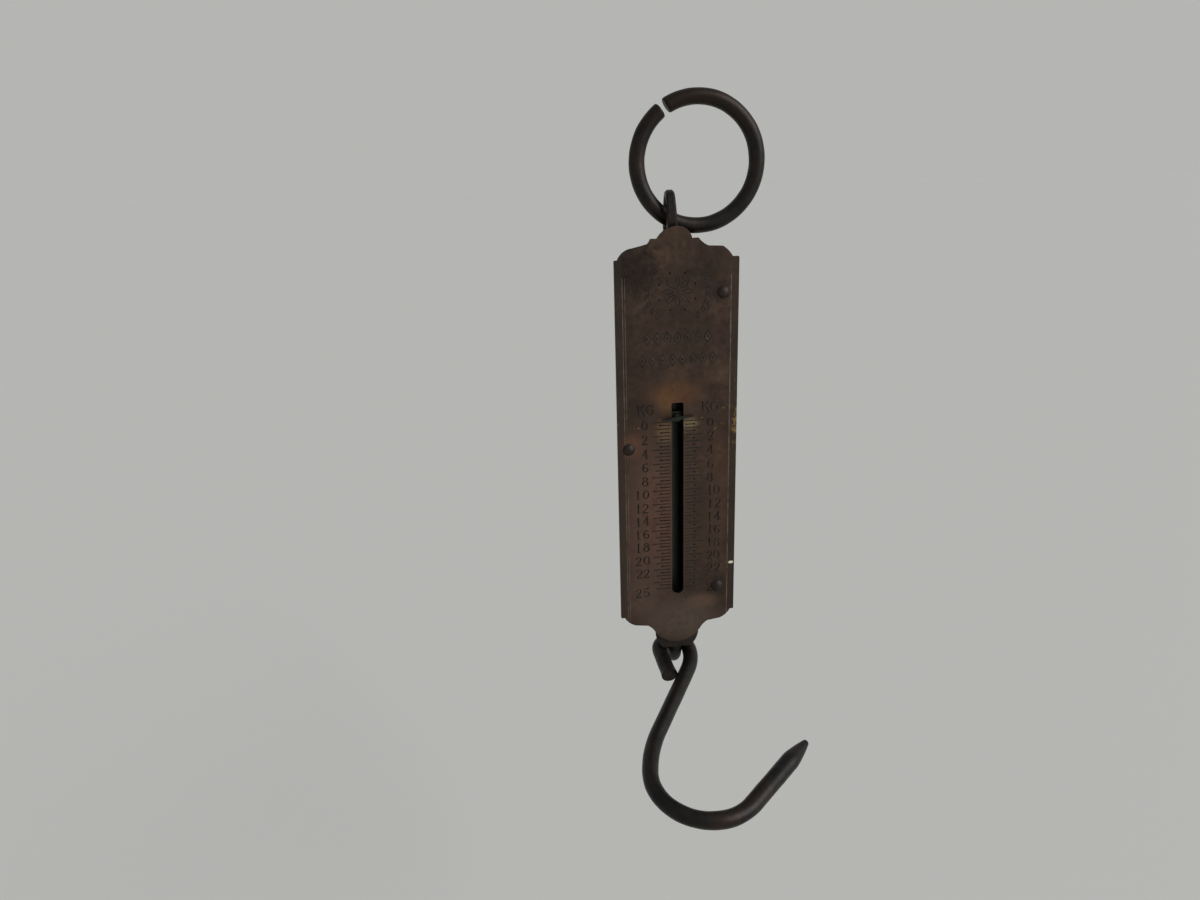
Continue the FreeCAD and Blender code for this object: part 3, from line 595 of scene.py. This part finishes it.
def scale_cutters():
    """Marks on both sides of the slot, longer at each kilogram, and their numbers."""
    chance = random.Random(7)
    cutters = []
    for half_kilo in range(2 * MARK_COUNT + 1):
        height = ZERO_HEIGHT - MARK_PITCH * half_kilo / 2
        kind = "half" if half_kilo % 2 else ("whole" if half_kilo % 4 else "even")
        for side in (-1, 1):
            slip = chance.uniform(-MARK_SLIP, MARK_SLIP)
            start = on_plate(side * MARK_START, height + slip * 0.5)
            end = on_plate(side * (MARK_ENDS[kind] + slip * 2), height + slip)
            cutters.append(groove(start, end, MARK_HALF_WIDTH))
            if kind == "half":
                cutters.append(dot(side * (MARK_ENDS[kind] + slip * 2), height + slip,
                                   DOT_RADIUS))
    for number in NUMBERS:
        height = ZERO_HEIGHT - MARK_PITCH * number - NUMBER_DROP - NUMBER_HEIGHT / 2
        digits = str(number)
        left_start = -NUMBER_INSIDE - DIGIT_PITCH * (len(digits) - 1) - DIGIT_WIDTH * NUMBER_HEIGHT
        for column_start in (left_start, NUMBER_INSIDE):
            for place, digit in enumerate(digits):
                x = (column_start + place * DIGIT_PITCH
                     + chance.uniform(-NUMBER_SLIP, NUMBER_SLIP))
                z = height + chance.uniform(-NUMBER_SLIP, NUMBER_SLIP)
                cutters.append(sign(digit, x, z, NUMBER_HEIGHT,
                                    chance.uniform(-NUMBER_TILT, NUMBER_TILT)))
    for start in UNIT_STARTS:
        for place, letter in enumerate("KG"):
            cutters.append(sign(letter, start + place * UNIT_PITCH,
                                UNIT_HEIGHT - UNIT_SIZE / 2, UNIT_SIZE,
                                chance.uniform(-UNIT_TILT, UNIT_TILT)))
    return cutters


def lozenge(x, z, half_width, half_height):
    """Four grooves round a lozenge, with a dot in its middle."""
    corners = [on_plate(x + half_width * a, z + half_height * b)
               for a, b in ((1, 0), (0, 1), (-1, 0), (0, -1))]
    sides = [groove(a, b, LOZENGE_GROOVE)
             for a, b in zip(corners, corners[1:] + corners[:1])]
    return sides + [dot(x, z, LOZENGE_DOT)]


def petal(x, z, angle, reach):
    """Closed outline of a petal that points away from a place at an angle."""
    inner, outer = reach
    middle = (inner + outer) / 2
    half = (outer - inner) * PETAL_HALF_WIDTH
    outline = ((inner, 0.0), (middle, half), (outer, 0.0), (middle, -half))
    cosine = math.cos(math.radians(angle))
    sine = math.sin(math.radians(angle))
    placed = []
    for along, aside in outline:
        point = (x + along * cosine - aside * sine, z + along * sine + aside * cosine, 1.0)
        placed += [point, point] if aside == 0.0 else [point]
    return placed, True


def ornament_cutters():
    """Two rows of lozenges, and a rosette in a ring of dots between two sprigs of leaves."""
    cutters = []
    for height, count in LOZENGE_ROWS:
        for step in range(count):
            x = (step - (count - 1) / 2) * LOZENGE_PITCH
            cutters += lozenge(x, height, *LOZENGE_SIZE)
    petals = []
    for step in range(ROSETTE_PETALS):
        angle = 360 * step / ROSETTE_PETALS
        petals.append(petal(0, ROSETTE_HEIGHT, angle, ROSETTE_REACH))
        turn = math.radians(angle + 180 / ROSETTE_PETALS)
        cutters.append(dot(ROSETTE_DOTS * math.cos(turn),
                           ROSETTE_HEIGHT + ROSETTE_DOTS * math.sin(turn), ROSETTE_DOT))
    low, high = SPRIG_ENDS
    for side, way in ((0, 1), (180, -1)):
        for turn in SPRIG_TURNS:
            angle = math.radians(side + turn)
            petals.append(petal(SPRIG_RADIUS * math.cos(angle),
                                ROSETTE_HEIGHT + SPRIG_RADIUS * math.sin(angle),
                                side + turn - SPRIG_LEAF_LEAN * way, SPRIG_LEAF))
        stem = [math.radians(side + (low + (high - low) * step / STEM_STEPS) * way)
                for step in range(STEM_STEPS + 1)]
        petals.append(([(SPRIG_RADIUS * math.cos(angle),
                         ROSETTE_HEIGHT + SPRIG_RADIUS * math.sin(angle), STEM_THICKNESS)
                        for angle in stem], False))
    for outline in petals:
        cutters.append(punch([outline], WORN_RADIUS, WORN_LIFT))
    return cutters


def border_cutters():
    """Lines scribed down both sides."""
    return [groove(on_plate(x, BORDER_BOTTOM), on_plate(x, BORDER_TOP), half_width)
            for x, half_width in BORDER_LINES]


def cutter_of(parts, material, name):
    """Cutter that leaves its own material in what it cuts."""
    cutter = joined(parts, name)
    cutter.data.materials.clear()
    cutter.data.materials.append(material)
    return cutter


def softened(node, name, material, width_mm):
    """Copy of a node with its sharp edges rounded a little."""
    source = frame["nodes"][node]
    piece = bpy.data.objects.new(name, source.data.copy())
    bpy.context.collection.objects.link(piece)
    piece.data.materials.clear()
    piece.data.materials.append(material)
    select_only(piece)
    bpy.ops.object.mode_set(mode="EDIT")
    bpy.ops.mesh.select_all(action="SELECT")
    bpy.ops.mesh.remove_doubles(threshold=0.002 * MM)
    bpy.ops.mesh.dissolve_limited(angle_limit=math.radians(0.5))
    bpy.ops.object.mode_set(mode="OBJECT")
    soften = piece.modifiers.new("soft_edges", "BEVEL")
    soften.width = width_mm * MM
    soften.segments = 3
    soften.angle_limit = math.radians(30)
    apply_modifiers(piece)
    return piece


def flat_faces(piece, angle):
    """Smooth shading in which the large faces keep their own normals."""
    select_only(piece)
    bpy.ops.object.shade_smooth_by_angle(angle=math.radians(angle))
    flatten = piece.modifiers.new("flat_faces", "WEIGHTED_NORMAL")
    flatten.weight = 100
    flatten.keep_sharp = True
    apply_modifiers(piece)


def engraved_plate(brass, dirt, lines):
    """The face plate with softened edges and every mark cut into its front."""
    plate = softened("face_plate", "engraved_face_plate", brass, 0.16)
    for cutter in (cutter_of(scale_cutters() + ornament_cutters(), dirt, "marks"),
                   cutter_of(border_cutters(), lines, "border")):
        cut = plate.modifiers.new(cutter.name, "BOOLEAN")
        cut.operation = "DIFFERENCE"
        cut.solver = "EXACT"
        cut.use_self = True
        cut.material_mode = "TRANSFER"
        cut.object = cutter
        apply_modifiers(plate)
        bpy.data.objects.remove(cutter)
    flat_faces(plate, 35)
    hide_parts("face_plate")
    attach(plate, "case")


class BentBar:
    """Round bar modelled from its cut end by extruding runs and spinning bends."""

    def __init__(self, name, radius, place, ahead, normal):
        self.place = Vector(place)
        self.ahead = Vector(ahead).normalized()
        self.normal = Vector(normal).normalized()
        turn = self.ahead.to_track_quat("Z", "Y").to_euler()
        bpy.ops.object.select_all(action="DESELECT")
        bpy.ops.mesh.primitive_circle_add(vertices=BAR_SIDES, radius=radius * MM,
                                          fill_type="NGON", location=self.place,
                                          rotation=turn)
        self.piece = bpy.context.object
        self.piece.name = name
        bake_place(self.piece)
        bpy.ops.object.mode_set(mode="EDIT")
        bpy.ops.mesh.select_all(action="SELECT")

    def thicken(self, share):
        """Makes the bar this share as thick at its end."""
        bpy.ops.transform.resize(value=(share,) * 3, center_override=self.place)

    def run(self, length, share=1.0):
        """Straight stretch, at whose end the bar is this share as thick."""
        steps = max(1, round(length / BAR_STEP))
        for _ in range(steps):
            move = self.ahead * length * MM / steps
            bpy.ops.mesh.extrude_region_move(TRANSFORM_OT_translate={"value": move})
            self.place = self.place + move
            self.thicken(share ** (1 / steps))

    def turn(self, radius, degrees):
        """Bend about a centre to the left of the way ahead, or to the right if negative."""
        side = math.copysign(1.0, degrees)
        centre = self.place + self.normal.cross(self.ahead) * radius * MM * side
        angle = math.radians(degrees)
        steps = max(2, round(abs(angle) * radius / BAR_STEP))
        spin = Matrix.Rotation(angle, 4, self.normal)
        bpy.ops.mesh.spin(steps=steps, angle=-angle, center=centre, axis=self.normal)
        self.place = centre + spin @ (self.place - centre)
        self.ahead = spin @ self.ahead

    def close(self):
        """Leaves edit mode and turns every face outwards."""
        bpy.ops.mesh.select_all(action="SELECT")
        bpy.ops.mesh.remove_doubles(threshold=0.01 * MM)
        bpy.ops.mesh.normals_make_consistent(inside=False)
        bpy.ops.object.mode_set(mode="OBJECT")
        return self.piece


def forged_skin(piece, rough_mm, patch_mm, soft_mm):
    """Softens a bar's ends and gives it the slight unevenness of hammered stock."""
    soften = piece.modifiers.new("soft_ends", "BEVEL")
    soften.width = soft_mm * MM
    soften.segments = 3
    soften.angle_limit = math.radians(40)
    finer = piece.modifiers.new("finer", "SUBSURF")
    finer.levels = 1
    finer.render_levels = 1
    clouds = bpy.data.textures.new("hammering", "CLOUDS")
    clouds.noise_scale = patch_mm * MM
    dents = piece.modifiers.new("hammering", "DISPLACE")
    dents.texture = clouds
    dents.texture_coords = "LOCAL"
    dents.strength = rough_mm * MM
    dents.mid_level = 0.5
    apply_modifiers(piece)
    select_only(piece)
    bpy.ops.object.shade_smooth_by_angle(angle=math.radians(40))


def dress(piece, material, node, body):
    """Gives a new piece its finish and its body, and hides the node that it stands in for."""
    piece.data.materials.clear()
    piece.data.materials.append(material)
    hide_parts(node)
    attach(piece, body)


def split_ring(material):
    """Hanging ring of round bar, bent almost closed."""
    low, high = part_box("hanging_ring")
    centre = (Vector(low) + Vector(high)) / 2
    start = math.radians(RING_GAP_START)
    outwards = Vector((math.cos(start), 0, math.sin(start)))
    ahead = Vector((-math.sin(start), 0, math.cos(start)))
    bar = BentBar("split_hanging_ring", RING_WIRE, centre + outwards * RING_MEAN * MM, ahead,
                  Vector((0, -1, 0)))
    bar.turn(RING_MEAN, RING_TURN)
    ring = bar.close()
    forged_skin(ring, 0.16, 5.0, 0.55)
    dress(ring, material, "hanging_ring", "ring")


def joint_place(name):
    """Where a hinge's axis lies."""
    for joint in frame["joints"]:
        if joint["name"] == name:
            return Vector(joint["pos_m"])


def forged_hook(material):
    """Load hook bent from bar, with its curl through the rod's eye and a filed point."""
    swing = math.radians(HOOK_ANGLE)
    down = Vector((0, -math.sin(swing), -math.cos(swing)))
    across = Vector((1, 0, 0))
    normal = across.cross(down)
    pivot = joint_place("hook_swing")
    lean = math.radians(CURL_TAIL_LEAN)
    rise = -across * math.sin(lean) - down * math.cos(lean)
    curl_start = (-across * (CURL * math.cos(lean) + HOOK_OFFSET)
                  + down * CURL * (1 + math.sin(lean)))
    tail = pivot + (curl_start - rise * CURL_TAIL) * MM
    bar = BentBar("forged_load_hook", HOOK_BAR * TAIL_FLARE, tail, rise, normal)
    bar.run(TAIL_FLARE_LENGTH, 1 / TAIL_FLARE)
    bar.run(CURL_TAIL - TAIL_FLARE_LENGTH)
    for size, degrees, share in HOOK_TURNS_AND_RUNS:
        if degrees is None:
            bar.run(size, share)
        else:
            bar.turn(size, degrees)
            bar.thicken(share)
    for length, share in TIP_RUNS:
        bar.run(length, share)
    hook = bar.close()
    forged_skin(hook, 0.22, 6.0, 0.12)
    dress(hook, material, "load_hook", "hook")


def worn_loop(material):
    """Hanging loop with its corners worn round."""
    loop = softened("hanging_loop", "worn_hanging_loop", material, 0.3)
    flat_faces(loop, 40)
    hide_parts("hanging_loop")
    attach(loop, "case")


def coil_spring(material):
    """Tension spring, whose two ends turn square to the plugs."""
    low, high = (Vector(corner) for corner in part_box("main_spring"))
    centre = (low + high) / 2
    rise = (2 * SPRING_WIRE + SPRING_BEND) * MM
    bottom = low.z + rise
    top = high.z - rise
    count = SPRING_TURNS * TURN_POINTS
    side = centre.x + SPRING_MEAN * MM
    front = centre.y - SPRING_BEND * MM
    back = centre.y + SPRING_BEND * MM
    points = [Vector((side, front, low.z)), Vector((side, front, bottom - rise / 3))]
    for step in range(count + 1):
        angle = 2 * math.pi * step / TURN_POINTS
        points.append(Vector((centre.x + SPRING_MEAN * MM * math.cos(angle),
                              centre.y + SPRING_MEAN * MM * math.sin(angle),
                              bottom + (top - bottom) * step / count)))
    points += [Vector((side, back, top + rise / 3)), Vector((side, back, high.z))]
    data = bpy.data.curves.new("coil_spring", "CURVE")
    data.dimensions = "3D"
    data.bevel_depth = SPRING_WIRE * MM
    data.bevel_resolution = 3
    data.use_fill_caps = True
    data.resolution_u = 2
    spline = data.splines.new("NURBS")
    spline.points.add(len(points) - 1)
    for point, place in zip(spline.points, points):
        point.co = (*place, 1.0)
    spline.order_u = 3
    spline.use_endpoint_u = True
    spring = bpy.data.objects.new("coil_spring", data)
    bpy.context.collection.objects.link(spring)
    select_only(spring)
    bpy.ops.object.convert(target="MESH")
    spring = bpy.context.object
    bpy.ops.object.shade_smooth()
    spring.data.materials.clear()
    spring.data.materials.append(material)
    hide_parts("main_spring")
    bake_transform(spring)


def finish_nodes(finishes):
    """Gives the nodes that stay as they are their finishes."""
    for node, material in finishes.items():
        piece = frame["nodes"][node]
        piece.data.materials.clear()
        piece.data.materials.append(material)


def stage():
    """Pale floor, soft light from the right and a pale surrounding."""
    bpy.ops.object.select_all(action="DESELECT")
    bpy.ops.mesh.primitive_plane_add(size=FLOOR_SIZE, location=(0, 0, -FLOOR_DROP))
    floor = bpy.context.object
    floor.name = "floor"
    material, tree, shader = new_material("pale_painted_board")
    shader.inputs["Base Color"].default_value = linear("#d2d2cd")
    shader.inputs["Roughness"].default_value = 0.7
    floor.data.materials.append(material)

    world = bpy.data.worlds.new("pale_room")
    bpy.context.scene.world = world
    world.use_nodes = True
    tree = world.node_tree
    seen = add(tree, "ShaderNodeLightPath").outputs["Is Camera Ray"]
    around = tree.nodes["Background"]
    around.inputs["Color"].default_value = linear("#e4e6e8")
    around.inputs["Strength"].default_value = ROOM_STRENGTH
    behind = add(tree, "ShaderNodeBackground", {"Color": linear("#b5b6b3"), "Strength": 1.0})
    mixed = add(tree, "ShaderNodeMixShader", (),
                {0: seen, 1: around.outputs[0], 2: behind.outputs[0]}).outputs[0]
    tree.links.new(mixed, tree.nodes["World Output"].inputs["Surface"])

    data = bpy.data.lights.new("window", "SUN")
    data.angle = math.radians(WINDOW_SPREAD)
    data.energy = WINDOW_STRENGTH
    lamp = bpy.data.objects.new("window", data)
    bpy.context.collection.objects.link(lamp)
    lamp.rotation_euler = Vector(WINDOW_SIDE).to_track_quat("Z", "Y").to_euler()


def camera():
    """Camera at the photograph's place, angle and field of view."""
    data = bpy.data.cameras.new("camera")
    data.sensor_width = SENSOR_WIDTH
    data.lens = FOCAL_PIXELS / PICTURE_WIDTH * SENSOR_WIDTH
    data.clip_start = 0.01
    data.clip_end = 50.0
    eye = bpy.data.objects.new("camera", data)
    bpy.context.collection.objects.link(eye)
    turn = (Matrix.Rotation(math.radians(-CAMERA_YAW), 3, "Z")
            @ Matrix.Rotation(math.radians(90 + CAMERA_PITCH), 3, "X")
            @ Matrix.Rotation(math.radians(CAMERA_ROLL), 3, "Z"))
    eye.location = CAMERA_PLACE
    eye.rotation_euler = turn.to_euler()
    bpy.context.scene.camera = eye


camera()
stage()
bpy.context.scene.view_settings.view_transform = "Standard"

brass = patinated_brass()
dirt = dirt_in_marks()
# Rivets closed cold and gone as brown as the brass round them, with little shine left
rivet_iron = steel_finish("browned_rivet_iron", "#1b1614", "#2b221e", "#402d23",
                          2.0, 0.5, 0.52, 0.6, 0.8)
# Hot-worked bar, oiled and handled until black: smooth, with a low broad shine
BLACKENED = ("#110f0e", "#201c1a", "#37281f", 4.0, 0.6, 0.43, 0.5, 1.0)
bar_iron = steel_finish("oil_blackened_forged_iron", *BLACKENED)
# The ring's crown, where it is held, has lost its oil and gone a thin brown
ring_low, ring_high = (Vector(corner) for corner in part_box("hanging_ring"))
ring_iron = steel_finish("handled_ring_iron", *BLACKENED,
                         ((ring_low.z + ring_high.z) / 2 + CROWN_START * MM,
                          ring_high.z - CROWN_FULL * MM, "#21150c"))
# The rod is the same bar, left bare where the casing covers it; its paler grey there is painted
# light for the rod in the slot's shade
rod_iron_painted_lit_inside = steel_finish("pull_rod_iron_bare_and_painted_lit", "#121110", "#211e1c", "#33271f",
                        4.0, 0.4, 0.5, 0.35, 1.0,
                        (CASE_FOOT - ROD_CHANGE * MM, CASE_FOOT, "#565651"))
# Sheet pressed to shape, gone grey-brown with thin rust in patches
sheet_iron = steel_finish("rust_browned_sheet_iron", "#201d1b", "#332d29", "#4a3324",
                          6.0, 0.5, 0.55, 0.6, 0.8)
# Lathe-turned steel, dulled in its case
turned_steel = steel_finish("dulled_turned_steel", "#33312d", "#4a4740", "#403428",
                            3.0, 0.8, 0.45, 0.3, 0.5)
# Thin blade with a skin of green-grey grime
grimy_steel = steel_finish("grimy_pointer_steel", "#1b1d1a", "#2e312b", "#2c261e",
                           1.5, 0.6, 0.4, 0.3, 0.4)
# Oil-tempered spring wire
spring_steel = steel_finish("oil_tempered_spring_wire", "#1d1d1f", "#302f31", "#3a2e24",
                            3.0, 0.8, 0.38, 0.2, 0.4)

engraved_plate(brass, dirt, rubbed_lines())
split_ring(ring_iron)
forged_hook(bar_iron)
worn_loop(bar_iron)
coil_spring(spring_steel)
finish_nodes({
    "pull_rod": rod_iron_painted_lit_inside, "face_rivets": rivet_iron, "block_rivets": bar_iron,
    "back_casing": sheet_iron, "top_block": turned_steel, "bottom_block": turned_steel,
    "upper_spring_plug": turned_steel, "upper_plug_pin": turned_steel,
    "lower_spring_plug": turned_steel, "lower_plug_pin": turned_steel,
    "pointer": grimy_steel,
})
